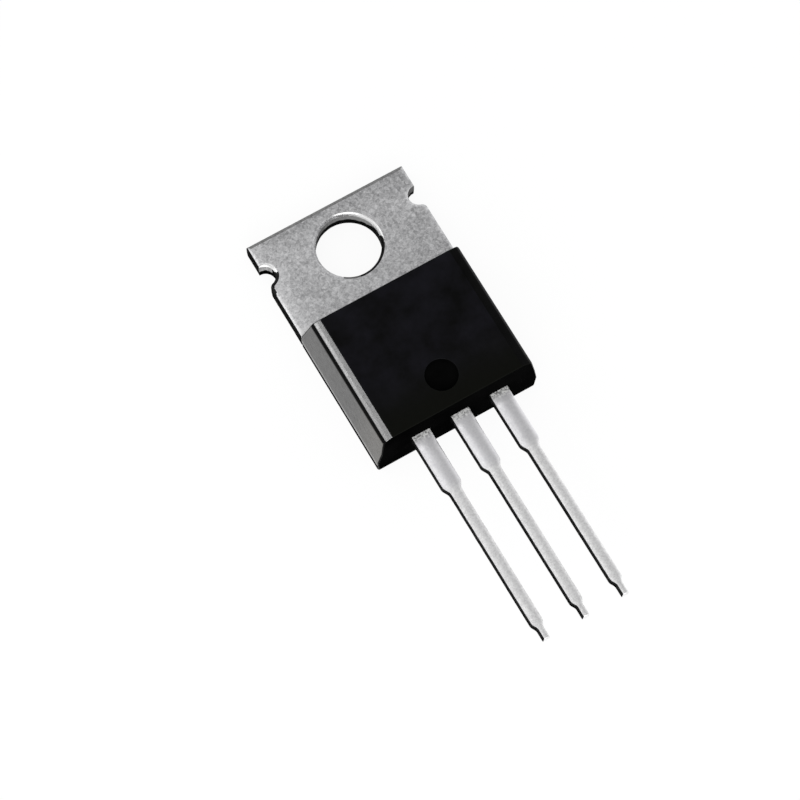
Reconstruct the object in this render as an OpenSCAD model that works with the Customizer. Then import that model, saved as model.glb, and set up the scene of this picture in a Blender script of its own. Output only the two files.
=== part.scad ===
// Power MOSFET in a three-lead through-hole plastic package with a metal mounting tab.
//
// Frame: millimetres. The origin is the axis of the mounting hole, on the flat back face of the tab.
// +X is across the width, +Y runs from the leads towards the free end of the tab, and +Z is out of
// the back face towards the moulded front. The package lies on its back on Z = 0.

/* [Tab] */
// Width of the metal tab across X
tab_w = 10.4; // [8.4:0.1:13]
// Thickness of the metal tab
tab_t = 1.27; // [1.0:0.01:1.6]
// Distance from the mounting hole axis to the free end of the tab
hole_to_end = 2.85; // [2.4:0.05:3.6]
// Distance from the mounting hole axis to the start of the moulding
hole_to_mould = 3.6; // [2.9:0.05:4.6]
// Diameter of the mounting hole
hole_d = 3.84; // [3:0.02:4.4]
// Size of the rolled lead-in round the front rim of the hole
hole_lead_in = 0.12; // [0.05:0.01:0.25]
// Depth of the notch in each side of the tab
notch_depth = 0.68; // [0.4:0.02:0.8]
// Width of each side notch along Y
notch_w = 1.24; // [0.9:0.02:1.4]
// Distance from the hole axis to the centre of the notches, towards the free end
notch_y = 0.76; // [0.3:0.02:1]
// Radius of the rounded corner on the lead side of each notch
notch_corner_r = 0.35; // [0.1:0.05:0.5]

/* [Die paddle] */
// Width of the paddle that carries the die
paddle_w = 8.8; // [7.4:0.1:9.6]
// Length of the paddle inside the moulding
paddle_len = 6.2; // [5.4:0.1:7]
// Width of the moulding lip that grips under each edge of the paddle
paddle_lip = 0.4; // [0.2:0.05:0.6]
// Height of that lip above the back face
paddle_lip_t = 0.55; // [0.4:0.05:0.8]
// Width of the groove across the tab that keys the moulding
key_w = 0.5; // [0.3:0.05:0.8]
// Distance from the start of the moulding to that groove
key_inset = 0.4; // [0.3:0.05:0.6]
// Depth of that groove
key_depth = 0.16; // [0.1:0.02:0.3]

/* [Moulding] */
// Width of the moulding at the front plane of the tab
mould_w = 10.5; // [8.6:0.1:13]
// Width of the moulding at the back face
mould_back_w = 10.4; // [8.5:0.1:12.9]
// Width of the moulding at the outer edge of the two long bevels
mould_top_w = 9.64; // [8:0.02:12]
// Width of the flat front face between the bevels
face_w = 8.46; // [7:0.02:11]
// Length of the moulding along Y, at the lead plane
mould_len = 9.0; // [8.7:0.1:11]
// Height of the front face above the back face
mould_h = 4.35; // [4.1:0.05:5.4]
// Drop of the long bevels from the front face to their outer edge
bevel_drop = 0.2; // [0.1:0.02:0.35]
// Slope-back of the tab-end wall from the tab to the front face
tab_wall_draft = 0.66; // [0.3:0.02:0.9]
// Slope-back of the lead-end wall above and below the lead plane
lead_wall_draft = 0.15; // [0.05:0.01:0.3]
// Diameter of the round dimple in the front face
dimple_d = 1.9; // [1.2:0.1:2.6]
// Depth of the dimple
dimple_depth = 0.16; // [0.05:0.01:0.3]
// Distance from the lead-end edge of the front face to the dimple centre
dimple_from_end = 1.86; // [1.4:0.02:3]

/* [Leads] */
// Thickness of the three leads
lead_t = 0.5; // [0.4:0.02:0.6]
// Height of the middle of the leads above the back face
lead_z = 2.72; // [2.2:0.02:3]
// Distance between the lead centre lines
pitch = 2.54; // [2.4:0.02:2.7]
// Width of each lead next to the moulding
wide_w = 1.26; // [1.0:0.02:1.5]
// Length of the wide part outside the moulding
wide_len = 3.45; // [2.8:0.05:4.2]
// Length of the shoulder from the wide part to the narrow part
shoulder_len = 0.42; // [0.2:0.02:0.8]
// Width of the narrow part
narrow_w = 0.8; // [0.6:0.02:0.96]
// Length of the leads outside the moulding
lead_len = 13.75; // [11:0.25:16.5]
// Width of the lead tip
tip_w = 0.44; // [0.3:0.02:0.55]
// Length of the tip
tip_len = 0.72; // [0.4:0.02:1]
// Length of the taper from the narrow part to the tip
tip_taper = 0.32; // [0.1:0.02:0.5]

/* [Lead ends inside the moulding] */
// Width of the bond post on the gate lead and on the source lead
post_w = 2.4; // [2:0.05:2.8]
// Length of each bond post
post_len = 1.35; // [1.1:0.05:1.5]
// Distance from the lead-end wall to the outer end of the posts
post_from_wall = 1.0; // [0.7:0.05:1.2]
// Distance from the centre line to the inner edge of each bond post
post_inner_x = 1.7; // [1.5:0.05:1.8]
// Width of the sloping neck that joins the middle lead to the paddle
neck_w = 1.6; // [1.4:0.05:1.8]
// Distance from the lead-end wall to the end of the wide neck
neck_w_from_wall = 0.9; // [0.6:0.05:1]
// Length of the sloping neck along Y
neck_run = 1.0; // [0.8:0.05:1.1]
// Length of the flat step between the end of the paddle and the foot of the slope
neck_step = 0.15; // [0.1:0.05:0.3]
// Length of neck that runs into the paddle
neck_root = 0.3; // [0.2:0.05:0.5]

/* [Die and wires] */
// Width of the silicon die
die_w = 4.6; // [3:0.1:5.6]
// Length of the silicon die
die_len = 3.9; // [3:0.1:4.2]
// Thickness of the silicon die
die_t = 0.25; // [0.15:0.01:0.35]
// Distance from the start of the moulding to the middle of the die
die_from_mould = 3.1; // [2.8:0.05:3.3]
// Distance from each edge of the die to the middle of its bond pads
pad_inset = 0.72; // [0.6:0.02:0.9]
// Thickness of the solder under the die
solder_t = 0.05; // [0.03:0.01:0.1]
// Width of the solder margin round the die
solder_margin = 0.12; // [0.05:0.01:0.25]
// Diameter of the gate bond wire
gate_wire_d = 0.15; // [0.1:0.01:0.25]
// Diameter of each source bond wire
source_wire_d = 0.38; // [0.25:0.01:0.45]
// Distance between the two source bond wires, across X
source_wire_gap = 1.05; // [0.8:0.05:1.2]
// Distance from the centre line to the first source bond wire, on the die
source_wire_x = 0.28; // [0:0.02:0.4]
// Distance from the inner edge of a post to the first bond wire on it
post_inset = 0.55; // [0.45:0.05:0.8]
// Length of each wire foot
wire_foot = 0.6; // [0.4:0.05:0.7]
// Angle at which each wire leaves the die
wire_rise = 68; // [60:1:75]

/* [Output] */
// Piece to draw

/* [Hidden] */

$fn = 48;
// Overlap between solids that are joined
join = 0.05;
// Extra reach of a cutting solid past the surface it cuts
past = 1;

// Bond wire form, as shares of the wire diameter: radius at the heels and in the upward bends,
// and how far a heel runs into its bend
heel_r = 0.46;
bend_r = 0.48;
wire_lap = 0.1;
// How far each bend runs into the crown, in degrees
lap_ang = 3;
// Heel end from the middle of the foot, as a share of the foot length
wire_heel = 0.7;

// Y of the main stations along the package
y_end = hole_to_end;
y_mould = -hole_to_mould;
y_wall = y_mould - mould_len;
y_face_tab = y_mould - tab_wall_draft;
y_face_lead = y_wall + lead_wall_draft;
y_dimple = y_face_lead + dimple_from_end;
y_paddle = y_mould - paddle_len;
y_tip = y_wall - lead_len;

// Z of the lead faces
z_lead_back = lead_z - lead_t / 2;
z_lead_front = lead_z + lead_t / 2;

// Bond posts
y_post_out = y_wall + post_from_wall;
y_post_in = y_post_out + post_len;
y_bond = y_post_out + post_len / 2;
post_mid_x = post_inner_x + post_w / 2;

// Die stack
y_die = y_mould - die_from_mould;
z_solder = tab_t;
z_die = tab_t + solder_t;
z_die_top = z_die + die_t;

// Neck of the middle lead: the slope rises from the front plane of the tab to the lead plane
neck_rise = z_lead_front - tab_t;
neck_ang = atan2(neck_rise, neck_run);
neck_shift = lead_t * tan(neck_ang / 2);
y_neck_low = y_paddle - neck_step;
y_neck_high = y_neck_low - neck_run;
y_neck_end = min(y_wall + neck_w_from_wall, y_neck_high - neck_shift - join);

// Bond points: [x, y] on the die and [x, y] on the post
gate_die = [-(die_w / 2 - pad_inset), y_die - (die_len / 2 - pad_inset)];
gate_post = [-post_mid_x, y_bond];
source_die_1 = [source_wire_x, y_die];
source_post_1 = [post_inner_x + post_inset, y_bond];
source_die_2 = source_die_1 + [source_wire_gap, 0];
source_post_2 = source_post_1 + [source_wire_gap, 0];

// ---------------------------------------------------------------- helpers

// Solid with the profile [y, z] of a polygon, w wide across X and centred on X = 0
module across(w, profile) {
    translate([-w / 2, 0, 0])
        rotate([90, 0, 90])
            linear_extrude(height = w)
                polygon(profile);
}

// Box centred on X and Y, standing on z0
module slab(cx, cy, z0, w, l, t) {
    translate([cx - w / 2, cy - l / 2, z0])
        cube([w, l, t]);
}

// Arc of round wire in the XZ plane about the origin, from angle a0 through a
module wire_arc(arc_r, wire_r, a0, a) {
    rotate([90, 0, 0])
        rotate([0, 0, a0])
            rotate_extrude(angle = a, $fn = 72)
                translate([arc_r, 0])
                    circle(r = wire_r);
}

// Pressed foot of a bond wire with a round heel, pointing along +X from its middle.
// The wire is thinnest at its heels and thickest over its crown, and each stretch runs a little
// way into the next.
module wire_pad(d, lift) {
    translate([-wire_foot / 2, -0.65 * d, 0])
        cube([wire_foot, 1.3 * d, 0.7 * d]);
    translate([0, 0, lift])
        rotate([0, 90, 0])
            cylinder(h = wire_foot * wire_heel + d * wire_lap, r = d * heel_r);
}

// Bond wire from point p on the die to point q on a post: a pressed foot, an upward bend,
// a round crown, a second upward bend and a pressed foot
module bond_wire(p, q, d, z_p, z_q) {
    lift = 0.55 * d;
    heel = wire_foot * wire_heel;
    dist = norm(q - p);
    span = dist - 2 * heel;
    rise = z_q - z_p;
    a = wire_rise;
    b = a - 2 * atan2(rise, span);
    both = span / (sin(a) + sin(b));
    r_foot = 1.8 * d;
    r_crown = both - r_foot;
    x_crown = heel + both * sin(a);
    z_crown = lift + r_foot - both * cos(a);
    translate([p[0], p[1], z_p])
        rotate([0, 0, atan2(q[1] - p[1], q[0] - p[0])])
            union() {
                wire_pad(d, lift);
                translate([heel, 0, lift + r_foot])
                    wire_arc(r_foot, d * bend_r, -90, a + lap_ang);
                translate([x_crown, 0, z_crown])
                    wire_arc(r_crown, d / 2, 90 - b, a + b);
                translate([dist - heel, 0, rise + lift + r_foot])
                    wire_arc(r_foot, d * bend_r, -90 - b - lap_ang, b + lap_ang);
                translate([dist, 0, rise])
                    mirror([1, 0, 0])
                        wire_pad(d, lift);
            }
}

// ---------------------------------------------------------------- metal parts

// Outline of a lead outside the moulding, from y0 down to the tip, about X = 0
module lead_outline(y0) {
    y_sh = y_wall - wide_len;
    y_nr = y_sh - shoulder_len;
    y_tp = y_tip + tip_len;
    polygon([
        [-wide_w / 2, y0], [-wide_w / 2, y_sh],
        [-narrow_w / 2, y_nr], [-narrow_w / 2, y_tp + tip_taper],
        [-tip_w / 2, y_tp], [-tip_w / 2, y_tip],
        [tip_w / 2, y_tip], [tip_w / 2, y_tp],
        [narrow_w / 2, y_tp + tip_taper], [narrow_w / 2, y_nr],
        [wide_w / 2, y_sh], [wide_w / 2, y0]
    ]);
}

module lead_blade(x, y0) {
    translate([x, 0, z_lead_back])
        linear_extrude(height = lead_t)
            lead_outline(y0);
}

// Cutter for the side notch on the +X side of the tab: a round notch whose lead-side mouth runs
// into the side of the tab over a corner round, tangent to both
module notch_cut() {
    r = notch_w / 2;
    x_mid = tab_w / 2 - notch_depth + r;
    x_round = tab_w / 2 - notch_corner_r;
    y_round = notch_y - sqrt(pow(r + notch_corner_r, 2) - pow(x_mid - x_round, 2));
    translate([x_mid, notch_y, -past])
        cylinder(h = tab_t + 2 * past, r = r);
    translate([x_mid, notch_y, -past])
        cube([tab_w / 2 + past - x_mid, r, tab_t + 2 * past]);
    difference() {
        translate([0, 0, -past])
            linear_extrude(height = tab_t + 2 * past)
                polygon([
                    [x_mid, notch_y], [x_round, y_round],
                    [tab_w / 2 + past, y_round], [tab_w / 2 + past, notch_y]
                ]);
        translate([x_round, y_round, -2 * past])
            cylinder(h = tab_t + 4 * past, r = notch_corner_r);
    }
}

module tab_plate() {
    difference() {
        translate([-tab_w / 2, y_mould, 0])
            cube([tab_w, y_end - y_mould, tab_t]);
        notch_cut();
        mirror([1, 0, 0])
            notch_cut();
        translate([0, 0, -past])
            cylinder(h = tab_t + 2 * past, d = hole_d, $fn = 96);
        translate([0, 0, tab_t - hole_lead_in])
            cylinder(h = 2 * hole_lead_in, d1 = hole_d, d2 = hole_d + 4 * hole_lead_in, $fn = 96);
    }
}

module paddle() {
    low_w = paddle_w - 2 * paddle_lip;
    low_len = paddle_len - paddle_lip;
    difference() {
        union() {
            translate([-low_w / 2, y_mould - low_len, 0])
                cube([low_w, low_len + join, tab_t]);
            translate([-paddle_w / 2, y_paddle, paddle_lip_t])
                cube([paddle_w, paddle_len + join, tab_t - paddle_lip_t]);
        }
        translate([-paddle_w / 2 - past, y_mould - key_inset - key_w, tab_t - key_depth])
            cube([paddle_w + 2 * past, key_w, key_depth + past]);
    }
}

module neck() {
    across(neck_w, [
        [y_paddle + neck_root, tab_t], [y_neck_low, tab_t],
        [y_neck_high, z_lead_front], [y_neck_end, z_lead_front],
        [y_neck_end, z_lead_back], [y_neck_high - neck_shift, z_lead_back],
        [y_neck_low - neck_shift, tab_t - lead_t], [y_paddle + neck_root, tab_t - lead_t]
    ]);
}

module drain_tab() {
    color([0.70, 0.70, 0.71])
        union() {
            tab_plate();
            paddle();
            neck();
            lead_blade(0, y_neck_end + join);
        }
}

// Lead with a bond post, on the -X side
module side_lead() {
    union() {
        lead_blade(-pitch, y_post_out + join);
        slab(-post_mid_x, y_post_out + post_len / 2, z_lead_back, post_w, post_len, lead_t);
    }
}

module gate_lead() {
    color([0.86, 0.86, 0.85])
        side_lead();
}

module source_lead() {
    color([0.86, 0.86, 0.85])
        mirror([1, 0, 0])
            side_lead();
}

// ---------------------------------------------------------------- die and wires

module silicon_die() {
    color([0.35, 0.36, 0.40])
        slab(0, y_die, z_die, die_w, die_len, die_t);
}

module die_solder() {
    color([0.60, 0.60, 0.62])
        slab(0, y_die, z_solder, die_w + 2 * solder_margin, die_len + 2 * solder_margin, solder_t);
}

module gate_wire() {
    color([0.88, 0.88, 0.89])
        bond_wire(gate_die, gate_post, gate_wire_d, z_die_top, z_lead_front);
}

module source_wire(p, q) {
    color([0.88, 0.88, 0.89])
        bond_wire(p, q, source_wire_d, z_die_top, z_lead_front);
}

module source_wire_1() {
    source_wire(source_die_1, source_post_1);
}

module source_wire_2() {
    source_wire(source_die_2, source_post_2);
}

// ---------------------------------------------------------------- moulding

// Outer form of the moulding: a bevelled, drafted block seen from the end and from the side
module mould_form() {
    intersection() {
        translate([0, y_mould + past, 0])
            rotate([90, 0, 0])
                linear_extrude(height = mould_len + 2 * past)
                    polygon([
                        [-mould_back_w / 2, 0], [mould_back_w / 2, 0],
                        [mould_w / 2, tab_t], [mould_top_w / 2, mould_h - bevel_drop],
                        [face_w / 2, mould_h], [-face_w / 2, mould_h],
                        [-mould_top_w / 2, mould_h - bevel_drop], [-mould_w / 2, tab_t]
                    ]);
        across(mould_w + 2 * past, [
            [y_mould, 0], [y_mould, tab_t], [y_face_tab, mould_h],
            [y_face_lead, mould_h], [y_wall, lead_z], [y_face_lead, 0]
        ]);
    }
}

module mould_body() {
    color([0.07, 0.07, 0.08])
        difference() {
            mould_form();
            translate([0, y_dimple, mould_h - dimple_depth])
                cylinder(h = dimple_depth + past, d = dimple_d);
            drain_tab();
            gate_lead();
            source_lead();
            die_solder();
            silicon_die();
            gate_wire();
            source_wire_1();
            source_wire_2();
        }
}

mould_body();
drain_tab();
gate_lead();
source_lead();
silicon_die();
die_solder();
gate_wire();
source_wire_1();
source_wire_2();
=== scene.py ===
import math

import bmesh
import bpy
from mathutils import Matrix, Vector, noise


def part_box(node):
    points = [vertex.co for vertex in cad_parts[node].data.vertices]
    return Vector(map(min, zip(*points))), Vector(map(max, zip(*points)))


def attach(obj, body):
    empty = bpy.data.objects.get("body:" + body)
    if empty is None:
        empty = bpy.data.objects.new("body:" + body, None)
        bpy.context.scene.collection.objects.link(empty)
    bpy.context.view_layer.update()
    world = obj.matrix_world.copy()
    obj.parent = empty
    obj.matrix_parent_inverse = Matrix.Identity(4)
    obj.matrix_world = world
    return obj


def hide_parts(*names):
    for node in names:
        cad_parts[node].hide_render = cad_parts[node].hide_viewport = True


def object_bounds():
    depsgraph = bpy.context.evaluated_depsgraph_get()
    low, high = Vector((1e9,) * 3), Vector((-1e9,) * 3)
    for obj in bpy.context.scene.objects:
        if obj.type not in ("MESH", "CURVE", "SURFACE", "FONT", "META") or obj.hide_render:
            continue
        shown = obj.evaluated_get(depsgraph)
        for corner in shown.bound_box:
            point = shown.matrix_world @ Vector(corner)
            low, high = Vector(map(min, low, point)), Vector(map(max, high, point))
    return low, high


# Looks of a power MOSFET that lies on its back: a moulded epoxy body on a plated metal tab, with
# three tin-dipped leads. Shapes are built in millimetres and scaled to the frame's metres at the
# end. +X is across the width, +Y runs from the leads to the free end of the tab, +Z is up.

MM = 0.001

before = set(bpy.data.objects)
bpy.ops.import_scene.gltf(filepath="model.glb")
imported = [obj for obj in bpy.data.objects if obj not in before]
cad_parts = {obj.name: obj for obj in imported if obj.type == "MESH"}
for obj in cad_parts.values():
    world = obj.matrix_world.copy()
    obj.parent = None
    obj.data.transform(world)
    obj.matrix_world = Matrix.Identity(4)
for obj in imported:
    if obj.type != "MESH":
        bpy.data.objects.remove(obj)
cad_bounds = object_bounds()

# ---------------------------------------------------------------- sizes, in millimetres


def box_mm(node):
    """Lowest and highest corner of a CAD node, in millimetres."""
    lo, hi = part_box(node)
    return lo / MM, hi / MM


MOULD_LO, MOULD_HI = box_mm("mould_body")
TAB_LO, TAB_HI = box_mm("drain_tab")
GATE_LO, GATE_HI = box_mm("gate_lead")

# Stations along the package, from the free end of the tab to the lead tips
Y_END = TAB_HI.y
Y_MOULD = MOULD_HI.y
Y_WALL = MOULD_LO.y
Y_TIP = TAB_LO.y

# Tab
TAB_HALF = TAB_HI.x
TAB_T = 1.27
HOLE_R = 1.92
NOTCH_R = 0.62
NOTCH_DEPTH = 0.68
NOTCH_Y = 0.76
NOTCH_CORNER_R = 0.35
TONGUE_HALF = 4.39
TONGUE_REACH = 0.15
HOLE_STEPS = 192

# Height of the torn zone at the back of a punched edge, and the most that the edge wanders
TEAR_H = 0.46
WANDER = 0.012

# Centres of the +X notch and of the rounded corner on its lead side
NOTCH_X = TAB_HALF - NOTCH_DEPTH + NOTCH_R
NOTCH_CORNER_Y = NOTCH_Y - math.sqrt(
    (NOTCH_R + NOTCH_CORNER_R) ** 2 - (NOTCH_X - TAB_HALF + NOTCH_CORNER_R) ** 2
)

# Moulding
FACE_HALF = 4.23
BEVEL_HALF = 4.82
BEVEL_DROP = 0.2
LIP_HALF, LIP_SLOPE = 4.50, 0.48
BACK_HALF = 5.2
TAB_DRAFT = 0.66
LEAD_DRAFT = 0.15
DIMPLE_R = 0.955
DIMPLE_DEPTH = 0.165
DIMPLE_FROM_END = 1.86
# Height of the foot band along the side walls, which is painted near-black shade
PAINTED_SHADE_FOOT_H = 0.75

# How far the finished moulding stays inside its CAD solid, and a lead inside its own
SKIN = 0.004
LEAD_SKIN = 0.003

# Leads
PITCH = 2.54
LEAD_BACK = GATE_LO.z
LEAD_FRONT = GATE_HI.z
LEAD_PLANE = (LEAD_BACK + LEAD_FRONT) / 2
WIDE_HALF = 0.63
WIDE_LEN = 3.45
SHOULDER_LEN = 0.42
NARROW_HALF = 0.4
TIP_HALF = 0.22
TIP_LEN = 0.72
TIP_TAPER = 0.32

# Rounds along a lead: the -X front edge, the +X front edge and the two back edges
LEFT_ROUND, RIGHT_ROUND, BACK_ROUND = 0.13, 0.06, 0.03

# Crown of the tin on the leads: where its ridge stands, as a share of half the width, its slope at
# the two edges, and how the -X side curves
CROWN_RIDGE = 0.36
CROWN_LEFT, CROWN_RIGHT = 0.26, 0.50
CROWN_POWER = 1.1

# How far from the moulding the crown starts and is complete, how much of it the back shows, and
# how far the bare stamped top falls at its edges
CROWN_START, CROWN_FULL = 0.25, 0.9
CROWN_BACK = 0.4
DOME = 0.02

# How far the tin's sides and top wander
SIDE_WAVE, TOP_WAVE = 0.006, 0.010

Y_SHOULDER = Y_WALL - WIDE_LEN
Y_NARROW = Y_SHOULDER - SHOULDER_LEN
Y_TIP_TOP = Y_TIP + TIP_LEN
Y_FACE_LEAD = Y_WALL + LEAD_DRAFT
Y_DIMPLE = Y_FACE_LEAD + DIMPLE_FROM_END

# Where the finished leads start inside the moulding, and where the CAD's inner part ends
Y_ROOT = Y_FACE_LEAD + 0.25
Y_INNER = Y_FACE_LEAD + 0.15

# Farther than the part reaches along X and Z
FAR = 10

# ---------------------------------------------------------------- mesh helpers


def new_piece(name, bm):
    """Object that holds the bmesh, still in millimetres."""
    bmesh.ops.recalc_face_normals(bm, faces=bm.faces)
    mesh = bpy.data.meshes.new(name)
    bm.to_mesh(mesh)
    bm.free()
    piece = bpy.data.objects.new(name, mesh)
    bpy.context.scene.collection.objects.link(piece)
    return piece


def drop(piece):
    """Deletes a piece that was used up."""
    mesh = piece.data
    bpy.data.objects.remove(piece)
    bpy.data.meshes.remove(mesh)


def apply_modifiers(piece):
    """Turns the piece's modifiers into its mesh."""
    graph = bpy.context.evaluated_depsgraph_get()
    mesh = bpy.data.meshes.new_from_object(piece.evaluated_get(graph))
    old = piece.data
    piece.modifiers.clear()
    piece.data = mesh
    mesh.name = piece.name
    bpy.data.meshes.remove(old)
    return piece


def combine(piece, other, operation):
    """Boolean of two closed meshes; the second is used up."""
    modifier = piece.modifiers.new("combine", "BOOLEAN")
    modifier.object = other
    modifier.operation = operation
    modifier.solver = "MANIFOLD"
    apply_modifiers(piece)
    drop(other)
    return piece


def cad_copy(node, name):
    """Welded copy of a CAD node, in millimetres."""
    bm = bmesh.new()
    bm.from_mesh(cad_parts[node].data)
    bmesh.ops.remove_doubles(bm, verts=bm.verts, dist=1e-7)
    bmesh.ops.scale(bm, vec=(1 / MM,) * 3, verts=bm.verts)
    return new_piece(name, bm)


def box_mesh(lo, hi):
    """Box between two corners."""
    lo, hi = Vector(lo), Vector(hi)
    bm = bmesh.new()
    bmesh.ops.create_cube(bm, size=1)
    bmesh.ops.scale(bm, vec=hi - lo, verts=bm.verts)
    bmesh.ops.translate(bm, vec=(lo + hi) / 2, verts=bm.verts)
    return bm


def split_mesh(bm, point, normal, clear_outer=False):
    """Cuts the mesh along a plane, and on request drops what lies on the normal's side."""
    return bmesh.ops.bisect_plane(
        bm,
        geom=bm.verts[:] + bm.edges[:] + bm.faces[:],
        dist=1e-5,
        plane_co=point,
        plane_no=normal,
        clear_outer=clear_outer,
    )


def skin_rings(bm, rings):
    """Quads between each closed ring of points and the next; returns the rings of vertices."""
    made = [[bm.verts.new(p) for p in ring] for ring in rings]
    for low, high in zip(made, made[1:]):
        n = len(low)
        for i in range(n):
            j = (i + 1) % n
            bm.faces.new((low[i], low[j], high[j], high[i]))
    return made


def loop_edges(bm, ring):
    """Edges of a closed ring of vertices."""
    return [bm.edges.get((ring[i - 1], ring[i])) for i in range(len(ring))]


def lathe(name, profile, centre, steps=96):
    """Closed solid of revolution about +Z from (radius, height) points that start and end on the
    axis."""
    bm = bmesh.new()
    turns = [2 * math.pi * k / steps for k in range(steps)]
    rings = [[(r * math.cos(a), r * math.sin(a), z) for a in turns] for r, z in profile[1:-1]]
    made = skin_rings(bm, rings)
    for ring, (_, z) in ((made[0], profile[0]), (made[-1], profile[-1])):
        middle = bm.verts.new((0, 0, z))
        for i in range(steps):
            bm.faces.new((ring[i - 1], ring[i], middle))
    bmesh.ops.translate(bm, vec=centre, verts=bm.verts)
    return new_piece(name, bm)


def smooth_step(x, low, high):
    """0 below low, 1 above high, and a smooth rise between."""
    t = min(1.0, max(0.0, (x - low) / (high - low)))
    return t * t * (3 - 2 * t)


def arc(cx, cy, r, a0, a1, steps):
    """Points on a circle from angle a0 to a1, in degrees, both ends included."""
    angles = [math.radians(a0 + (a1 - a0) * k / steps) for k in range(steps + 1)]
    return [(cx + r * math.cos(a), cy + r * math.sin(a)) for a in angles]


def finish_shape(piece):
    """Weighted normals with sharp edges kept, then the scale from millimetres to metres."""
    sharp = math.radians(36)
    bm = bmesh.new()
    bm.from_mesh(piece.data)
    bmesh.ops.remove_doubles(bm, verts=bm.verts, dist=1e-5)
    bmesh.ops.dissolve_degenerate(bm, edges=bm.edges, dist=1e-5)
    for face in bm.faces:
        face.smooth = True
    for edge in bm.edges:
        if len(edge.link_faces) == 2:
            edge.smooth = edge.calc_face_angle(0) < sharp
    bm.to_mesh(piece.data)
    bm.free()
    modifier = piece.modifiers.new("normals", "WEIGHTED_NORMAL")
    modifier.keep_sharp = True
    modifier.weight = 100
    apply_modifiers(piece)
    piece.data.transform(Matrix.Scale(MM, 4))
    return piece


# ---------------------------------------------------------------- moulding


def clipped_box(lo, hi, planes):
    """Convex solid: a box cut by planes, each given as (point, outward normal)."""
    bm = box_mesh(lo, hi)
    for point, normal in planes:
        cut = split_mesh(bm, point, normal, clear_outer=True)
        opened = [e for e in cut["geom_cut"] if isinstance(e, bmesh.types.BMEdge)]
        if opened:
            bmesh.ops.contextual_create(bm, geom=opened)
    bmesh.ops.recalc_face_normals(bm, faces=bm.faces)
    return bm


def plane_through(p, q, along, inside):
    """Plane that holds the points p and q and the direction along, facing away from inside."""
    p, q = Vector(p), Vector(q)
    normal = (q - p).cross(Vector(along)).normalized()
    if normal.dot(p - Vector(inside)) < 0:
        normal.negate()
    return p - normal * SKIN, normal


def edge_radius(edge):
    """Radius of the round on one edge of the moulding, from the two faces that meet there."""
    a, b = (f.normal for f in edge.link_faces)
    flat = max(a.z, b.z) > 0.99
    bevel = any(0.88 < n.z < 0.99 and abs(n.x) > 0.2 for n in (a, b))
    side = any(abs(n.x) > 0.9 for n in (a, b))
    end = any(abs(n.y) > 0.9 for n in (a, b))
    if min(a.z, b.z) < -0.99:
        return 0.06
    if bevel and side:
        return 0.42
    if bevel and flat:
        return 0.5
    if bevel and end:
        return 0.1
    if a.z > 0.88 and b.z > 0.88:
        return 0.6
    if side and end:
        return 0.14
    if flat and end:
        return 0.09
    return 0.05


def mould_shell():
    """Outer form of the moulding with every edge rounded, a hair inside the CAD faces."""
    top = MOULD_HI.z
    shelf = top - BEVEL_DROP
    lip = top - BEVEL_DROP * (LIP_HALF - FACE_HALF) / (BEVEL_HALF - FACE_HALF)
    middle = (0, (Y_MOULD + Y_WALL) / 2, top / 2)
    half = MOULD_HI.x
    along_y, along_x = (0, 1, 0), (1, 0, 0)
    planes = []
    for s in (-1, 1):
        planes += [
            plane_through((s * BACK_HALF, 0, 0), (s * half, 0, TAB_T), along_y, middle),
            plane_through((s * half, 0, TAB_T), (s * BEVEL_HALF, 0, shelf), along_y, middle),
            plane_through((s * BEVEL_HALF, 0, shelf), (s * FACE_HALF, 0, top), along_y, middle),
            plane_through(
                (s * LIP_HALF, 0, lip), (s * (LIP_HALF + 1), 0, lip - LIP_SLOPE), along_y, middle
            ),
        ]
    planes += [
        plane_through((0, Y_MOULD, 0), (0, Y_MOULD, TAB_T), along_x, middle),
        plane_through((0, Y_MOULD, TAB_T), (0, Y_MOULD - TAB_DRAFT, top), along_x, middle),
        plane_through((0, Y_FACE_LEAD, top), (0, Y_WALL, LEAD_PLANE), along_x, middle),
        plane_through((0, Y_WALL, LEAD_PLANE), (0, Y_FACE_LEAD, 0), along_x, middle),
    ]
    lo = (-half - 1, Y_WALL - 1, SKIN)
    hi = (half + 1, Y_MOULD + 1, top - SKIN)
    bm = clipped_box(lo, hi, planes)
    # How far each round eats into its faces, from its radius and the angle between them
    offsets = {}
    for edge in bm.edges:
        offsets[edge.index] = edge_radius(edge) * math.tan(edge.calc_face_angle(0) / 2)
    widest = max(offsets.values())
    layer = bm.edges.layers.float.new("bevel_weight_edge")
    for edge in bm.edges:
        edge[layer] = offsets[edge.index] / widest
    shell = new_piece("mould_shell", bm)
    bevel = shell.modifiers.new("round", "BEVEL")
    bevel.limit_method = "WEIGHT"
    bevel.width = widest
    bevel.segments = 8
    bevel.use_clamp_overlap = False
    return apply_modifiers(shell)


def dimple_cutter():
    """Ejector-pin dimple: flat floor, filleted foot and a softened rim."""
    top = MOULD_HI.z - SKIN
    floor = MOULD_HI.z - DIMPLE_DEPTH
    foot, rim, steps = 0.05, 0.05, 5
    profile = [(0, floor), (DIMPLE_R * 0.5, floor)]
    profile += arc(DIMPLE_R - foot, floor + foot, foot, -90, 0, steps)
    profile += arc(DIMPLE_R + rim, top - rim, rim, 180, 90, steps)
    profile += [(DIMPLE_R + rim + 0.02, top + 0.5), (0, top + 0.5)]
    return lathe("dimple_cutter", profile, (0, Y_DIMPLE, 0))


def build_mould():
    """The CAD body with its cavities, inside a rounded shell, with a finished dimple."""
    body = cad_copy("mould_body", "moulding")
    combine(body, mould_shell(), "INTERSECT")
    combine(body, dimple_cutter(), "DIFFERENCE")
    # The foot of the side walls is a band of its own, which takes a near-black painted shade
    bm = bmesh.new()
    bm.from_mesh(body.data)
    split_mesh(bm, (0, 0, PAINTED_SHADE_FOOT_H), (0, 0, 1))
    bm.to_mesh(body.data)
    bm.free()
    return finish_shape(body)


# ---------------------------------------------------------------- leads


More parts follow.
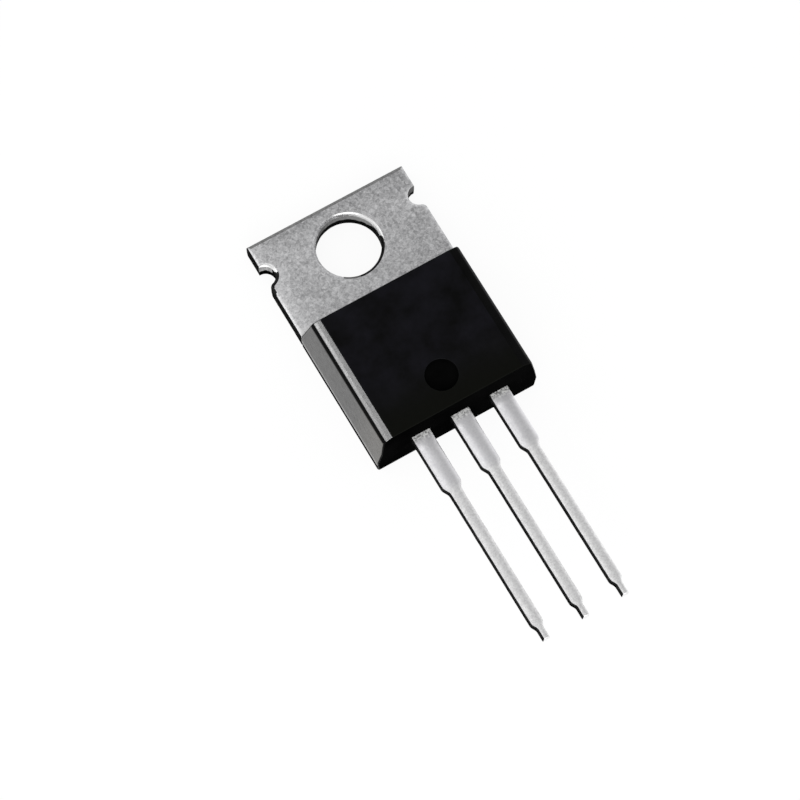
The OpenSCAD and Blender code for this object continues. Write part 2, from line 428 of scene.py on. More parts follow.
def lead_half_width(y):
    """Half the width of a lead at a station, with the stamped corners eased."""
    stations = [
        (Y_TIP, TIP_HALF), (Y_TIP_TOP, TIP_HALF), (Y_TIP_TOP + TIP_TAPER, NARROW_HALF),
        (Y_NARROW, NARROW_HALF), (Y_SHOULDER, WIDE_HALF), (Y_WALL + 1, WIDE_HALF),
    ]

    def raw(at):
        for (y0, w0), (y1, w1) in zip(stations, stations[1:]):
            if at <= y1:
                return w0 + (w1 - w0) * max(0, at - y0) / (y1 - y0)
        return WIDE_HALF

    ease, count = 0.09, 7
    samples = [raw(y + ease * (2 * k / (count - 1) - 1)) for k in range(count)]
    return sum(samples) / count


def crown_drop(x, half):
    """How far the tin coat has fallen from its ridge, x from the middle of the blade. The tin ran
    to the +X side as it set, so the ridge stands off the middle."""
    ridge = CROWN_RIDGE * half
    if x < ridge:
        reach = ridge + half
        share = (ridge - x) / reach
        return CROWN_LEFT * reach / (CROWN_POWER + 1) * share ** (CROWN_POWER + 1)
    reach = half - ridge
    return CROWN_RIGHT * reach / 2 * ((x - ridge) / reach) ** 2


def lead_section(y, cx, dip):
    """Closed ring of points round the lead at one station. dip is 0 where the stamped metal is
    bare and 1 where the tin coat stands in a crown."""
    half = lead_half_width(y) - LEAD_SKIN
    half += SIDE_WAVE * dip * (noise.noise(Vector((cx, y * 1.7, 3.1))) - 0.5)
    z0, z1 = LEAD_BACK + LEAD_SKIN, LEAD_FRONT - LEAD_SKIN
    hair = 0.001
    steps, across = 6, 26

    def corner(sx, sz, r, start):
        z = (z1 if sz > 0 else z0) - sz * r
        return arc(sx * (half - r), z, r, start, start + 90, steps)

    points = corner(1, 1, RIGHT_ROUND, 0)
    start, span = half - RIGHT_ROUND, 2 * half - RIGHT_ROUND - LEFT_ROUND
    points += [(start - span * k / across, z1) for k in range(1, across)]
    points += corner(-1, 1, LEFT_ROUND, 90)
    points += corner(-1, -1, BACK_ROUND, 180)
    inner = half - BACK_ROUND
    points += [(-inner + 2 * inner * k / across, z0) for k in range(1, across)]
    points += corner(1, -1, BACK_ROUND, 270)
    ring = []
    for x, z in points:
        up = (z - z0) / (z1 - z0)
        u = x / half
        ripple = TOP_WAVE * dip * noise.noise(Vector((x * 1.5 + cx, y * 1.1, 7.7)))
        sag = dip * crown_drop(x, half) + DOME * u * u + ripple * (1 - u * u)
        z -= sag * up * up
        z += CROWN_BACK * sag * (1 - up) ** 2
        ring.append((cx + x, y, min(max(z, LEAD_BACK + hair), LEAD_FRONT - hair)))
    return ring


def lead_blade(name, cx):
    """Lead from just inside the moulding to its tip, with closer sections where it changes."""
    end_round, fine_step, coarse_step = 0.06, 0.05, 0.16
    changes = (Y_SHOULDER, Y_NARROW, Y_TIP_TOP + TIP_TAPER / 2)
    y, stations = Y_ROOT, []
    while y > Y_TIP + end_round:
        stations.append(y)
        near_change = min(abs(y - at) for at in changes) < 0.35
        y -= fine_step if near_change or y > Y_WALL - 1 else coarse_step
    rings = []
    for y in stations:
        dip = smooth_step(-y, CROWN_START - Y_WALL, CROWN_FULL - Y_WALL)
        rings.append(lead_section(y, cx, dip))
    # Blunt end with a small round
    end = lead_section(Y_TIP + end_round, cx, 1)
    for inset, rise in ((0.0, end_round), (0.012, 0.03), (0.04, 0.01), (0.08, 0.0)):
        ring = []
        for x, _, z in end:
            away = Vector((x - cx, z - LEAD_PLANE))
            keep = max(0.0, away.length - inset) / away.length
            ring.append((cx + away.x * keep, Y_TIP + rise, LEAD_PLANE + away.y * keep))
        rings.append(ring)
    bm = bmesh.new()
    made = skin_rings(bm, rings)
    bm.faces.new(made[0])
    bm.faces.new(made[-1])
    return new_piece(name, bm)


def inner_part(node, name, y_end):
    """The share of a CAD node that is hidden in the moulding, up to y_end."""
    cutter = new_piece("cut", box_mesh((-FAR, Y_INNER, -1), (FAR, y_end, FAR)))
    return combine(cad_copy(node, name), cutter, "INTERSECT")


def build_side_lead(node, name, cx):
    """Gate or source lead: the CAD's bond post and a finished blade."""
    inner = inner_part(node, name, Y_MOULD)
    combine(inner, lead_blade("blade", cx), "UNION")
    return finish_shape(inner)


# ---------------------------------------------------------------- tab


def tab_outline():
    """Outline of the tab plate, anticlockwise, from the tongue in the moulding up the +X side to
    the free end and back down the -X side."""
    notch = Vector((NOTCH_X, NOTCH_Y))
    corner = Vector((TAB_HALF - NOTCH_CORNER_R, NOTCH_CORNER_Y))
    tangent = math.degrees(math.atan2(notch.y - corner.y, notch.x - corner.x))
    right = [(TONGUE_HALF, Y_MOULD - TONGUE_REACH), (TONGUE_HALF, Y_MOULD + SKIN)]
    right += [(TAB_HALF, Y_MOULD + SKIN)]
    right += arc(corner.x, corner.y, NOTCH_CORNER_R, 0, tangent, 8)[:-1]
    mouth = math.degrees(math.acos((TAB_HALF - notch.x) / NOTCH_R))
    right += arc(notch.x, notch.y, NOTCH_R, 180 + tangent, mouth, 24)
    right += [(TAB_HALF, Y_END)]
    left = [(-x, y) for x, y in reversed(right)]
    return right + left


def resample(points, spacing, margin):
    """Closed outline with extra points on its long sides, none closer to a corner than margin."""
    out = []
    for p, q in zip(points, points[1:] + points[:1]):
        p, q = Vector(p), Vector(q)
        out.append(p)
        length = (q - p).length
        spare = length - 2 * margin
        if spare > 0:
            steps = math.ceil(spare / spacing)
            out += [p.lerp(q, (margin + spare * k / steps) / length) for k in range(steps + 1)]
    return out


def inset_ring(points, inset, z, wobble=0.0):
    """The closed outline moved inwards by inset, at height z, and kept within the tab's sides."""
    ring = []
    limit = TAB_HALF - inset + wobble
    n = len(points)
    for i, p in enumerate(points):
        a = (p - points[i - 1]).normalized()
        b = (points[(i + 1) % n] - p).normalized()
        na, nb = Vector((-a.y, a.x)), Vector((-b.y, b.x))
        normal = (na + nb).normalized()
        scale = 1 / max(0.5, normal.dot(na))
        shift = inset
        if wobble:
            shift += wobble * noise.noise(Vector((p.x * 4, p.y * 4, z * 6)))
        q = p + normal * shift * scale
        ring.append((min(limit, max(-limit, q.x)), q.y, z))
    return ring


def stamped_edge(roll, rise, power):
    """Rows of (inset, height, share of wobble) from back to front: a torn zone, a burnished wall,
    then the edge that the punch rolled over. roll is how wide the rolled edge is, rise how high,
    and power how it flattens out."""
    steps = 12
    start, foot = 0.02, TAB_T - rise
    torn = [
        (0.035, 0.0, 0.0), (0.022, 0.02, 0.5), (0.018, 0.16, 1), (0.014, 0.3, 1),
        (0.003, TEAR_H, 0.3),
    ]
    burnished = [
        (0.0, TEAR_H + 0.06, 0), (0.0, 0.85, 0), (0.0, foot - 0.045, 0), (0.006, foot - 0.018, 0),
    ]
    rolled_over = []
    for k in range(steps + 1):
        share = k / steps
        inset = start + (roll - start) * share
        rolled_over.append((inset, TAB_T - rise * (1 - share) ** power, 0))
    return torn + burnished + rolled_over


def build_tab():
    """Stamped plate, joined to the CAD's paddle and neck and to the middle lead's blade."""
    bm = bmesh.new()
    outline = resample(tab_outline(), spacing=0.12, margin=0.35)
    hole = [Vector(p) for p in arc(0, 0, HOLE_R, 0, -360, HOLE_STEPS)[:-1]]
    support = 0.05
    caps = []
    for points, rows in (
        (outline, stamped_edge(roll=0.25, rise=0.088, power=2)),
        (hole, stamped_edge(roll=0.19, rise=0.16, power=1.5)),
    ):
        rings = [inset_ring(points, rows[0][0] + support, 0.0)]
        rings += [inset_ring(points, i, z, WANDER * w) for i, z, w in rows]
        rings += [inset_ring(points, rows[-1][0] + support, TAB_T)]
        made = skin_rings(bm, rings)
        caps.append((made[0], made[-1]))
    for level in (0, 1):
        edges = [e for cap in caps for e in loop_edges(bm, cap[level])]
        bmesh.ops.triangle_fill(bm, use_beauty=True, edges=edges, normal=(0, 0, 1))
    plate = new_piece("plate", bm)
    overlap = 0.05
    tab = inner_part("drain_tab", "tab_and_drain_lead", Y_MOULD - TONGUE_REACH + overlap)
    combine(tab, plate, "UNION")
    combine(tab, lead_blade("blade", 0), "UNION")
    return finish_shape(tab)


# ---------------------------------------------------------------- materials


def grey(level):
    """Neutral colour of that level."""
    return (level,) * 3


class Paint:
    """A material's node tree, with the few node kinds that the finishes share."""

    def __init__(self, name):
        self.material = bpy.data.materials.new(name)
        self.material.use_nodes = True
        self.tree = self.material.node_tree
        self.tree.nodes.clear()
        self.output = self.add("ShaderNodeOutputMaterial")
        self.shader = self.add("ShaderNodeBsdfPrincipled")
        self.link(self.shader.outputs[0], self.output.inputs[0])
        coordinates = self.add("ShaderNodeTexCoord")
        scale = self.add("ShaderNodeVectorMath", operation="SCALE")
        self.link(coordinates.outputs["Object"], scale.inputs[0])
        scale.inputs["Scale"].default_value = 1 / MM
        self.place = scale.outputs[0]
        self.axes = self.add("ShaderNodeSeparateXYZ")
        self.link(self.place, self.axes.inputs[0])

    def add(self, kind, **settings):
        """New node with those attributes."""
        node = self.tree.nodes.new(kind)
        for key, value in settings.items():
            setattr(node, key, value)
        return node

    def link(self, source, target):
        """Joins an output to an input."""
        self.tree.links.new(source, target)

    def put(self, socket, value):
        """Links an output, or sets a number or colour."""
        if isinstance(value, bpy.types.NodeSocket):
            self.link(value, socket)
        elif isinstance(value, (tuple, list)) and len(value) == 3 and socket.type == "RGBA":
            socket.default_value = (*value, 1)
        else:
            socket.default_value = value

    def noise(self, per_mm, detail=3, roughness=0.5, distortion=0.0, stretch=None):
        """Noise with that many features to the millimetre; stretch scales the three axes."""
        node = self.add("ShaderNodeTexNoise")
        source = self.place
        if stretch:
            product = self.add("ShaderNodeVectorMath", operation="MULTIPLY")
            self.link(self.place, product.inputs[0])
            product.inputs[1].default_value = stretch
            source = product.outputs[0]
        self.link(source, node.inputs["Vector"])
        node.inputs["Scale"].default_value = per_mm
        node.inputs["Detail"].default_value = detail
        node.inputs["Roughness"].default_value = roughness
        node.inputs["Distortion"].default_value = distortion
        return node.outputs["Fac"]

    def cells(self, per_mm, feature="F1"):
        """Distance to the nearest of that many cells to the millimetre."""
        node = self.add("ShaderNodeTexVoronoi", feature=feature)
        self.link(self.place, node.inputs["Vector"])
        node.inputs["Scale"].default_value = per_mm
        return node.outputs["Distance"]

    def spread(self, value, low, high, to_low=0.0, to_high=1.0, smooth=False):
        """Maps low..high to to_low..to_high, clamped."""
        node = self.add("ShaderNodeMapRange")
        if smooth:
            node.interpolation_type = "SMOOTHSTEP"
        for key, number in (
            ("Value", value), ("From Min", low), ("From Max", high),
            ("To Min", to_low), ("To Max", to_high),
        ):
            self.put(node.inputs[key], number)
        return node.outputs["Result"]

    def maths(self, operation, a, b=0.0):
        """Result of one operation on two numbers."""
        node = self.add("ShaderNodeMath", operation=operation)
        self.put(node.inputs[0], a)
        self.put(node.inputs[1], b)
        return node.outputs[0]

    def blend(self, share, a, b):
        """Colour mix from a to b."""
        node = self.add("ShaderNodeMix", data_type="RGBA")
        self.put(node.inputs["Factor"], share)
        self.put(node.inputs[6], a)
        self.put(node.inputs[7], b)
        return node.outputs[2]

    def bump(self, height, depth_mm, strength, below=None):
        """Normal of a relief, laid over the one below."""
        node = self.add("ShaderNodeBump")
        node.inputs["Strength"].default_value = strength
        node.inputs["Distance"].default_value = depth_mm * MM
        self.link(height, node.inputs["Height"])
        if below is not None:
            self.link(below, node.inputs["Normal"])
        return node.outputs["Normal"]

    def finish(self, **sockets):
        """Sets or links the shader's sockets, named in lower case, and returns the material."""
        for key, value in sockets.items():
            socket = key.replace("_", " ").title().replace("Ior", "IOR")
            self.put(self.shader.inputs[socket], value)
        return self.material


def epoxy(name, dark, pale, rough, level, ior=1.5, dulling=0.0, painted_end_shading=None):
    """Black filled moulding compound with a spark-eroded mould grain. rough is the roughness
    range, level the specular level, dulling what the lead end adds to the roughness, and
    painted_end_shading the colour there, a painted shading that grows toward the lead end."""
    paint = Paint(name)
    cloud = paint.noise(0.45, 4, 0.62)
    flecks = paint.spread(paint.cells(9), 0.0, 0.12, 0.25, 0)
    colour = paint.blend(paint.spread(cloud, 0.35, 0.65), dark, pale)
    colour = paint.blend(flecks, colour, tuple(3 * c for c in pale))
    tone = paint.spread(paint.noise(3.2, 3, 0.6), 0.3, 0.7, *rough)
    along = paint.axes.outputs["Y"]
    # Painted shading: the colour turns to painted_end_shading toward the lead end
    if painted_end_shading:
        near = paint.spread(along, Y_WALL + 0.3, Y_WALL + 3.8, 1, 0, smooth=True)
        colour = paint.blend(near, colour, painted_end_shading)
    if dulling:
        tone = paint.maths("ADD", tone, paint.spread(along, Y_WALL, Y_MOULD - 2, dulling, 0))
    grain = paint.bump(paint.noise(13, 3, 0.6), 0.006, 0.5)
    waves = paint.bump(paint.noise(3.4, 3, 0.55), 0.012, 0.5, below=grain)
    return paint.finish(base_color=colour, roughness=tone, specular_ior_level=level, ior=ior,
                        normal=waves)


def plated():
    """Satin nickel plate over rolled copper: fine mottled grain, with pale resin that bled along
    the
    moulding. Painted light: the plate is lighter toward -X and darker toward +X, and its -X corner
    by the moulding has a painted white highlight. The plate also darkens toward its free end."""
    paint = Paint("satin_nickel")
    grain = paint.noise(5.2, 5, 0.72, distortion=0.7)
    cloud = paint.noise(0.9, 4, 0.6)
    lines = paint.noise(9, 2, 0.5, stretch=(1.0, 0.12, 1.0))
    tone = paint.maths("ADD", paint.spread(grain, 0.34, 0.66, 0.0, 0.78),
                       paint.spread(cloud, 0.3, 0.7, 0.0, 0.22))
    across, along = paint.axes.outputs["X"], paint.axes.outputs["Y"]
    # Painted light: lighter toward the -X side and darker toward +X; the plate also darkens toward
    # its free end
    for part in (
        paint.spread(across, -TAB_HALF, 1.8 - TAB_HALF, 0.28, 0, smooth=True),
        paint.spread(across, 0, TAB_HALF, 0, -0.10),
        paint.spread(along, 1.2, Y_END, 0, -0.16, smooth=True),
    ):
        tone = paint.maths("ADD", tone, part)
    colour = paint.blend(tone, (0.34, 0.34, 0.348), (0.95, 0.95, 0.96))
    near = paint.spread(along, Y_MOULD, Y_MOULD + 1.1, 0.5, 0, smooth=True)
    bleed_and_highlight = paint.maths("MULTIPLY", near, paint.spread(grain, 0.46, 0.62))
    # Painted highlight: the -X corner by the moulding is whitened and loses its metal gloss
    corner = paint.maths("MULTIPLY", paint.spread(across, -TAB_HALF, 1.2 - TAB_HALF, 1, 0),
                         paint.spread(along, Y_MOULD + 0.1, Y_MOULD + 0.7, 1, 0, smooth=True))
    bleed_and_highlight = paint.maths("ADD", bleed_and_highlight, corner)
    colour = paint.blend(bleed_and_highlight, colour, grey(0.96))
    rough = paint.spread(grain, 0.3, 0.7, 0.40, 0.54)
    fine = paint.bump(grain, 0.016, 0.6)
    rolled = paint.bump(lines, 0.004, 0.35, below=fine)
    return paint.finish(base_color=colour, roughness=rough,
                        metallic=paint.spread(bleed_and_highlight, 0.15, 0.8, 1.0, 0.1), normal=rolled)


def punched(name, dark, pale, torn_tone, tint, tear=TEAR_H, bore=False):
    """Punched edge of the metal, with upright drag lines and a torn zone at the back that is tear
    high. tint is the colour of its gloss at a glancing angle. In a bore the dark torn tone rises
    to the front edge on the side toward +X and -Y, and the wall is painted lighter toward +X: a
    painted sheen."""
    paint = Paint(name)
    across = paint.axes.outputs["X"]
    drag = paint.noise(7, 4, 0.6, stretch=(1.0, 1.0, 0.08))
    ragged = paint.maths("ADD", paint.axes.outputs["Z"],
                         paint.spread(paint.noise(3, 3, 0.6), 0.3, 0.7, -0.07, 0.07))
    if bore:
        slant = paint.maths("MULTIPLY", paint.axes.outputs["Y"], 0.5)
        slant = paint.maths("SUBTRACT", paint.maths("MULTIPLY", across, 0.87), slant)
        climb = paint.spread(slant, 0.55 * HOLE_R, 0.98 * HOLE_R, 0, TAB_T - tear)
        ragged = paint.maths("SUBTRACT", ragged, climb)
    torn = paint.spread(ragged, tear - 0.05, tear + 0.05, 1, 0, smooth=True)
    colour = paint.blend(paint.spread(drag, 0.3, 0.7), dark, pale)
    # Painted sheen: the bore wall is lighter toward +X
    if bore:
        painted_sheen = paint.spread(across, -0.5 * HOLE_R, 0.8 * HOLE_R, 0, 0.4)
        colour = paint.blend(painted_sheen, colour, grey(0.60))
    colour = paint.blend(torn, colour, torn_tone)
    rough = paint.spread(drag, 0.3, 0.7, 0.42, 0.6)
    lines = paint.bump(drag, 0.012, 0.5)
    return paint.finish(base_color=colour, roughness=rough, metallic=1.0, specular_tint=tint,
                        normal=lines)


def tinned():
    """Bright dipped tin, smoother on the wide part, with a stained, rough patch where the lead
    leaves the moulding, whose dark mottling is in part painted shade from the moulding."""
    paint = Paint("dipped_tin")
    ripple = paint.noise(2.6, 3, 0.5, stretch=(1.0, 0.45, 1.0))
    speck = paint.noise(8, 4, 0.7)
    along = paint.axes.outputs["Y"]
    edge = paint.maths("ADD", along, paint.spread(speck, 0.25, 0.75, -0.25, 0.25))
    stain_and_painted_shade = paint.spread(edge, Y_WALL - 0.50, Y_WALL - 0.15, 0, 1, smooth=True)
    narrow = paint.spread(along, Y_NARROW - 0.2, Y_SHOULDER + 0.3, 1, 0, smooth=True)
    colour = paint.blend(paint.spread(speck, 0.3, 0.7), (0.80, 0.795, 0.82), (0.93, 0.925, 0.94))
    frosted = paint.blend(paint.spread(speck, 0.38, 0.62), (0.80, 0.795, 0.80), grey(1.0))
    colour = paint.blend(narrow, colour, frosted)
    # The patch's dark mottling is in part painted shade from the moulding
    patch = paint.blend(paint.spread(speck, 0.40, 0.54), (0.20, 0.20, 0.195), (0.97, 0.97, 0.96))
    colour = paint.blend(stain_and_painted_shade, colour, patch)
    rough = paint.maths("ADD", paint.spread(narrow, 0, 1, 0.32, 0.42),
                        paint.spread(stain_and_painted_shade, 0, 1, 0.0, 0.2))
    soft = paint.bump(ripple, 0.02, 0.25)
    fine = paint.bump(speck, 0.006, 0.6, below=soft)
    return paint.finish(base_color=colour, roughness=rough,
                        metallic=paint.spread(stain_and_painted_shade, 0, 1, 1.0, 0.35), normal=fine)


def rim():
    """Smooth bright metal where the punch drew the edge down, laid only on the crescents toward -X
    and -Y: a painted highlight.
    """
    paint = Paint("drawn_rim_painted_highlight")
    speck = paint.noise(6, 3, 0.6)
    colour = paint.blend(paint.spread(speck, 0.3, 0.7), grey(0.86), grey(0.97))
    rough = paint.spread(speck, 0.3, 0.7, 0.30, 0.40)
    return paint.finish(base_color=colour, roughness=rough, metallic=1.0,
                        normal=paint.bump(speck, 0.004, 0.3))


def silicon():
    """Metallised chip, dark along the edges of its cells."""
    paint = Paint("silicon_die")
    cells = paint.cells(5, "DISTANCE_TO_EDGE")
    colour = paint.blend(paint.spread(cells, 0.0, 0.06), (0.42, 0.42, 0.44), (0.12, 0.13, 0.17))
    rough = paint.spread(paint.noise(8, 3), 0.3, 0.7, 0.12, 0.25)
    return paint.finish(base_color=colour, roughness=rough, metallic=0.6,
                        normal=paint.bump(cells, 0.004, 0.3))


def soft_solder():
    """Dull grey solder with a coarse grain."""
    paint = Paint("soft_solder")
    grain = paint.noise(5, 5, 0.6)
    colour = paint.blend(paint.spread(grain, 0.3, 0.7), (0.30, 0.30, 0.31), (0.52, 0.52, 0.53))
    rough = paint.spread(grain, 0.3, 0.7, 0.35, 0.6)
    return paint.finish(base_color=colour, roughness=rough, metallic=1.0,
                        normal=paint.bump(grain, 0.01, 0.4))


def aluminium():
    """Bond wire, drawn along its length."""
    paint = Paint("drawn_aluminium")
    drag = paint.noise(14, 3, 0.6, stretch=(1.0, 0.2, 1.0))
    colour = paint.blend(paint.spread(drag, 0.3, 0.7), (0.74, 0.74, 0.75), (0.88, 0.88, 0.89))
    rough = paint.spread(drag, 0.3, 0.7, 0.22, 0.38)
    return paint.finish(base_color=colour, roughness=rough, metallic=1.0,
                        normal=paint.bump(drag, 0.003, 0.4))


# ---------------------------------------------------------------- pieces


def paint_faces(piece, materials, choose):
    """Gives each face the material that choose(centre in mm, normal) names."""
    names = list(materials)
    piece.data.materials.clear()
    for name in names:
        piece.data.materials.append(materials[name])
    for face in piece.data.polygons:
        face.material_index = names.index(choose(face.center / MM, face.normal))


def add_piece(piece, node):
    """Hands the piece over in place of its CAD node."""
    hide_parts(node)
    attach(piece, "root")


BLACK, COOL = (0.0012, 0.0012, 0.0013), (0.0062, 0.0060, 0.0088)
BROWN, WARM = (0.0050, 0.0038, 0.0034), (0.0075, 0.0065, 0.0055)
moulded = {
    # The front is painted darker toward the lead end: a painted shade
    "face": epoxy("epoxy_matt", BLACK, COOL, (0.36, 0.48), level=0.07,
                  painted_end_shading=(0.0020, 0.0022, 0.0012)),
    "bevel": epoxy("epoxy_polished", BLACK, COOL, (0.18, 0.32), level=1.0, ior=2.4,
                   dulling=0.06),
    # The side walls are painted grey toward the lead end: a painted sheen
    "side": epoxy("epoxy_satin", BROWN, WARM, (0.22, 0.34), level=0.51,
                  painted_end_shading=(0.056, 0.051, 0.043)),
    # Painted shade for the second bevel and the slanted rounds on the gate side
    "shade": epoxy("epoxy_shaded", grey(0.0022), grey(0.0042), (0.5, 0.6), level=0.03),
    # Near-black painted shade with no gloss, for the lead end, the dimple wall and the foot of the
    # side walls
    "end": epoxy("epoxy_rough_painted_shade", grey(0.0012), grey(0.0026), (0.6, 0.75), level=0.0),
}
nickel, tin = plated(), tinned()
# Painted shade: near-black punched edge whose glancing gloss is taken away, for walls and rounds
# facing away from the light and for the lead sides
painted_shade_edge = punched("punched_edge_painted_shade", grey(0.010), grey(0.035), grey(0.008), tint=grey(0))
# Painted light and shade: mid-grey punched edge with no glancing gloss, for the lit walls of the
# +X notch and the rounds facing the free end
rolled = punched("rolled_edge_painted_light", grey(0.17), grey(0.34), grey(0.05), tint=grey(0))
# The bore wall carries a painted sheen toward +X
burnish = punched("burnished_bore", grey(0.14), grey(0.28), grey(0.014), tint=grey(0.3),
                  tear=0.61, bore=True)
# Painted highlight: pale wall for the -X notch where it faces the leads
painted_lit_notch_wall = punched("burnished_notch_painted_highlight", grey(0.42), grey(0.66), grey(0.003), tint=grey(0.3),
                     tear=0.62)

moulding = build_mould()


def mould_finish(centre, normal):
    """The matt front, the polished bevel on the gate side and the satin side walls. The foot of
    the side walls, the lead end and the dimple wall are in near-black painted shade, and the
    second bevel and the slanted rounds on the gate side in painted shade too."""
    top = MOULD_HI.z
    in_dimple = (centre.xy - Vector((0, Y_DIMPLE))).length < DIMPLE_R + 0.02
    # The lead end, the dimple wall and the foot of the side walls take the near-black painted
    # shade
    if normal.y < -0.8 and centre.y < Y_WALL + 1:
        return "end"
    if in_dimple and top - 0.3 < centre.z < top - 0.02:
        return "end"
    in_cavity = abs(centre.x) < BEVEL_HALF and centre.z < top - BEVEL_DROP - 0.2
    if abs(normal.x) > 0.9 and centre.z < PAINTED_SHADE_FOOT_H:
        return "end"
    if in_cavity or centre.z < PAINTED_SHADE_FOOT_H:
        return "face"
    # The second bevel and the slanted rounds on the gate side are in painted shade
    if normal.z > 0.8 and abs(centre.x) > FACE_HALF - 0.3:
        if -0.54 < normal.x < -0.2:
            return "bevel"
        if normal.x > 0.1:
            return "shade"
    if -0.90 < normal.x < -0.50:
        return "shade"
    return "side" if normal.x > 0.96 or normal.x < -0.90 else "face"


paint_faces(moulding, moulded, mould_finish)
add_piece(moulding, "mould_body")


def turned_to(normal, degrees):
    """Cosine between the normal's sideways part and a compass angle, from +X towards +Y."""
    a = math.radians(degrees)
    return normal.xy.normalized().dot(Vector((math.cos(a), math.sin(a))))


def edge_zone(centre, normal):
    """Which punched edge of the tab a face is on."""
    near = 0.3
    if centre.xy.length < HOLE_R + near:
        return "hole"
    to_notch = Vector((math.copysign(NOTCH_X, centre.x), NOTCH_Y)) - centre.xy
    turned_in = to_notch.normalized().dot(normal.xy.normalized()) > 0.8
    if to_notch.length < NOTCH_R + near and turned_in:
        return "left_notch" if centre.x < 0 else "right_notch"
    return "outline"


def is_lit(zone, normal, wall):
    """Faces of the hole and the notches that take a painted highlight: crescents which narrow to
    nothing at their ends.
    """
    steep = 0 if wall else max(0, 0.95 - normal.z)
    if zone == "hole":
        return turned_to(normal, 215) > 0.58 + 0.4 * steep
    if zone == "left_notch":
        return turned_to(normal, 240) > (0.75 if wall else 0.36 + 0.4 * steep)
    return zone == "right_notch" and turned_to(normal, 285) > 0.64


def is_dark(zone, centre, normal):
    """Rolled edge that faces away from the lit side, which takes painted shade. On the outline the
    painted dark line turns the corner into the notch."""
    if zone == "hole":
        return normal.x < -0.45 or turned_to(normal, 118) > 0.80
    near_corner = max(0, 1 - abs(centre.y - NOTCH_CORNER_Y) / 0.5)
    return normal.x < -0.54 + 0.45 * near_corner or turned_to(normal, 137) > 0.75


def metal_finish(centre, normal):
    """Lead and tab faces: tin on the leads, nickel on the tab, and punched walls and lead sides
    mostly in painted shade. The edge the punch drew down gets a painted highlight where it faces
    the leads and painted shade where it faces away."""
    # The lead sides and the -X round of their tops are in painted shade
    if centre.y < Y_WALL + 0.5:
        right_side = normal.x > 0.5 and abs(normal.z) < 0.3
        return "painted_shade_edge" if right_side or normal.x < -0.37 else "tin"
    wall = abs(normal.z) < 0.35
    zone = edge_zone(centre, normal)
    lit = is_lit(zone, normal, wall)
    if wall and zone == "hole":
        return "burnish"
    # Walls on the lit side take the paler painted copies, the rest painted shade
    if wall and lit:
        return "painted_lit_notch_wall" if zone == "left_notch" else "rolled"
    if wall:
        return "painted_shade_edge"
    if normal.z < 0 or normal.z > 0.993:
        return "nickel"
    # Rounds toward the lit side take the painted highlight, those facing away painted shade
    if lit:
        return "rim" if zone != "right_notch" and normal.z < 0.975 else "nickel"
    if is_dark(zone, centre, normal):
        return "painted_shade_edge"
    # Rounds facing the free end take the darker mid-grey painted finish
    in_notch = zone in ("left_notch", "right_notch")
    return "rolled" if turned_to(normal, 90) > 0.8 and not in_notch else "nickel"


metals = {
    "tin": tin, "nickel": nickel, "rim": rim(), "painted_shade_edge": painted_shade_edge, "rolled": rolled,
    "burnish": burnish, "painted_lit_notch_wall": painted_lit_notch_wall,
}
for node, cx in (("gate_lead", -PITCH), ("source_lead", PITCH)):
    lead = build_side_lead(node, node + "_tin", cx)
    paint_faces(lead, metals, metal_finish)
    add_piece(lead, node)

tab = build_tab()
paint_faces(tab, metals, metal_finish)
add_piece(tab, "drain_tab")

# The pieces sealed inside are the CAD nodes themselves
die, solder, wire = silicon(), soft_solder(), aluminium()
for node, material in (
    ("silicon_die", die), ("die_solder", solder),
    ("gate_wire", wire), ("source_wire_1", wire), ("source_wire_2", wire),
):
    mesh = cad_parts[node].data
    mesh.materials.clear()
    mesh.materials.append(material)

# ---------------------------------------------------------------- floor, light and camera


def studio_floor():
    """White paper a hair under the part."""
    half_size, gap = 2, 0.02 * MM
    bm = bmesh.new()
    bmesh.ops.create_grid(bm, x_segments=1, y_segments=1, size=half_size)
    bmesh.ops.translate(bm, vec=(0, 0, -gap), verts=bm.verts)
    floor = new_piece("studio_floor", bm)
    paint = Paint("floor_paper")
    cloud = paint.noise(0.02, 2)
    paint.finish(base_color=paint.blend(cloud, grey(0.90), grey(0.92)),
                 roughness=0.9, specular_ior_level=0.1)
    # The paper reads white to the camera and in reflections, and still takes the shadow
    white, glow_share = 1.03, 0.9
    glow = paint.add("ShaderNodeEmission")
    glow.inputs["Strength"].default_value = white
    rays = paint.add("ShaderNodeLightPath")
    seen = paint.maths("MAXIMUM", rays.outputs["Is Camera Ray"], rays.outputs["Is Glossy Ray"])
    seen = paint.maths("MAXIMUM", seen, rays.outputs["Is Transmission Ray"])
    share = paint.maths("MULTIPLY", seen, glow_share)
    mix = paint.add("ShaderNodeMixShader")
    paint.link(share, mix.inputs[0])
    paint.link(paint.shader.outputs[0], mix.inputs[1])
    paint.link(glow.outputs[0], mix.inputs[2])
    paint.link(mix.outputs[0], paint.output.inputs[0])
    floor.data.materials.append(paint.material)


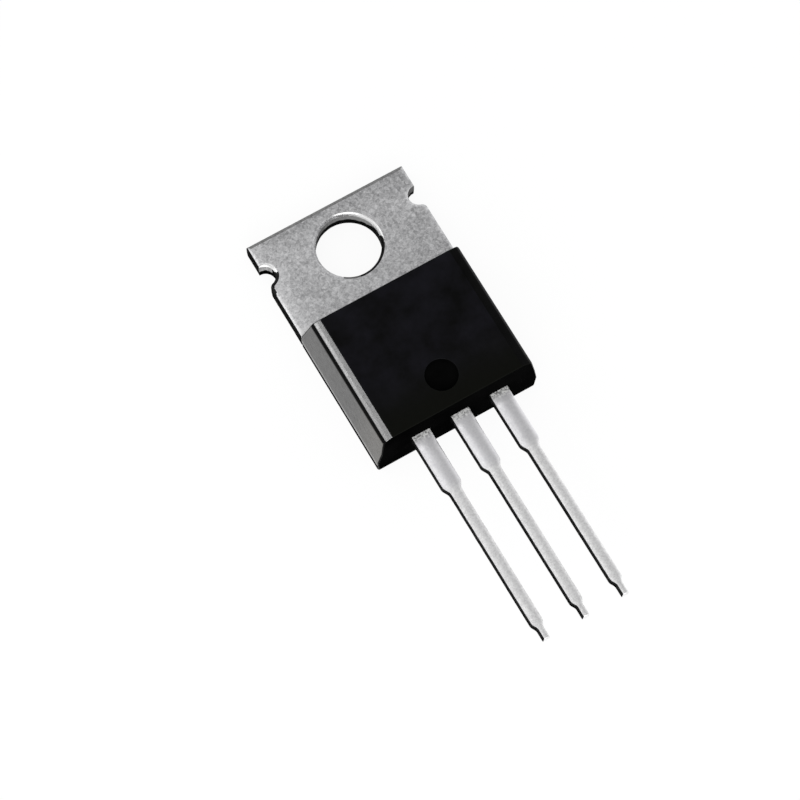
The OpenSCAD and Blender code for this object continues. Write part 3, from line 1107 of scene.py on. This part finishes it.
def studio_world():
    """Soft room: white near the horizon and darker overhead."""
    world = bpy.data.worlds.new("studio")
    bpy.context.scene.world = world
    world.use_nodes = True
    tree = world.node_tree
    tree.nodes.clear()
    out = tree.nodes.new("ShaderNodeOutputWorld")
    back = tree.nodes.new("ShaderNodeBackground")
    place = tree.nodes.new("ShaderNodeTexCoord")
    split = tree.nodes.new("ShaderNodeSeparateXYZ")
    ramp = tree.nodes.new("ShaderNodeMapRange")
    ramp.interpolation_type = "SMOOTHSTEP"
    for key, value in (("From Min", 0.3), ("From Max", 0.9), ("To Min", 1.0), ("To Max", 0.45)):
        ramp.inputs[key].default_value = value
    tree.links.new(place.outputs["Generated"], split.inputs[0])
    tree.links.new(split.outputs["Z"], ramp.inputs["Value"])
    tree.links.new(ramp.outputs["Result"], back.inputs["Color"])
    tree.links.new(back.outputs[0], out.inputs[0])


def softbox(name, toward, distance, size, radiance, aim):
    """Square area lamp of that radiance, in the direction toward from the point aim. Distance,
    size and aim are in millimetres."""
    lamp = bpy.data.lights.new(name, "AREA")
    lamp.shape = "SQUARE"
    lamp.size = size * MM
    lamp.energy = radiance * math.pi * lamp.size ** 2
    holder = bpy.data.objects.new(name, lamp)
    bpy.context.scene.collection.objects.link(holder)
    direction = Vector(toward).normalized()
    holder.location = (Vector(aim) + direction * distance) * MM
    holder.rotation_mode = "QUATERNION"
    holder.rotation_quaternion = direction.to_track_quat("Z", "Y")


def studio_camera():
    """Camera on the photograph's viewing angle, given as azimuth, elevation and roll."""
    azimuth, elevation, roll = (math.radians(a) for a in (-29.97, 70.02, 0.17))
    distance = 177.8
    framing = Vector((-2.344, 1.763, -0.18))
    aim = middle + framing
    back = Vector((
        math.sin(azimuth) * math.cos(elevation),
        -math.cos(azimuth) * math.cos(elevation),
        math.sin(elevation),
    ))
    data = bpy.data.cameras.new("camera")
    data.lens = 141.12
    data.sensor_width = 36
    data.clip_start = 0.01
    data.clip_end = 10
    camera = bpy.data.objects.new("camera", data)
    bpy.context.scene.collection.objects.link(camera)
    camera.location = (aim + back * distance) * MM
    camera.rotation_mode = "QUATERNION"
    turn = Matrix.Rotation(-roll, 3, back)
    camera.rotation_quaternion = turn.to_quaternion() @ (-back).to_track_quat("-Z", "Y")
    bpy.context.scene.camera = camera


middle = (cad_bounds[0] + cad_bounds[1]) / 2 / MM
front = (0, -6, 4)
studio_floor()
studio_world()
softbox("key", (-0.63, 0.45, 0.69), distance=130, size=42, radiance=1.8, aim=front)
softbox("lead_light", (-0.256, 0.105, 0.961), distance=130, size=40, radiance=1.2, aim=front)
softbox("fill", (-0.4, -0.8, 0.5), distance=180, size=150, radiance=2.0, aim=middle)
studio_camera()
bpy.context.scene.view_settings.view_transform = "Standard"
